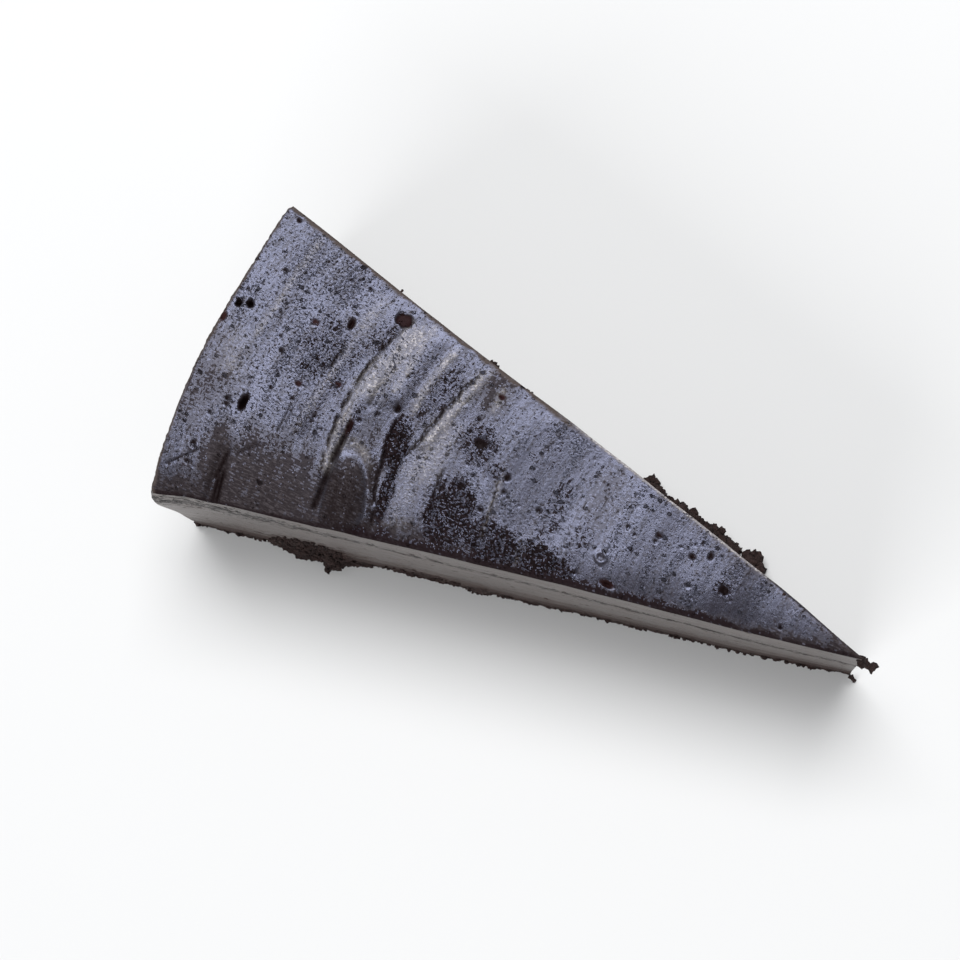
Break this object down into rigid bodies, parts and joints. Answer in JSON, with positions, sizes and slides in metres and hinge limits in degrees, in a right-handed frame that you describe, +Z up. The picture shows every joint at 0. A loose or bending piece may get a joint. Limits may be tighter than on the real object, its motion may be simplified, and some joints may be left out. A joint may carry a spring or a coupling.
{
  "type": "slice of chocolate cake",
  "caption": "Narrow wedge of dense chocolate cake on a dark crumb base, with a glossy, wrinkled dark top.",
  "frame": {"origin": "middle of the footprint, on the surface the slice stands on", "axes": "+X from the rim towards the tip, +Y towards the cut on the far side, +Z up"},
  "size_m": [0.1265, 0.0571, 0.0422],
  "materials": {
    "crumb": "rough, near-black brown cookie crumbs pressed together",
    "filling": "satin, knife-smeared dark brown chocolate filling",
    "top": "glossy near-black chocolate skin with wrinkles and fine pores"
  },
  "bodies": {
    "root": {"crumb_base": "crumb", "chocolate_filling": "filling", "top_layer": "top"}
  },
  "joints": []
}
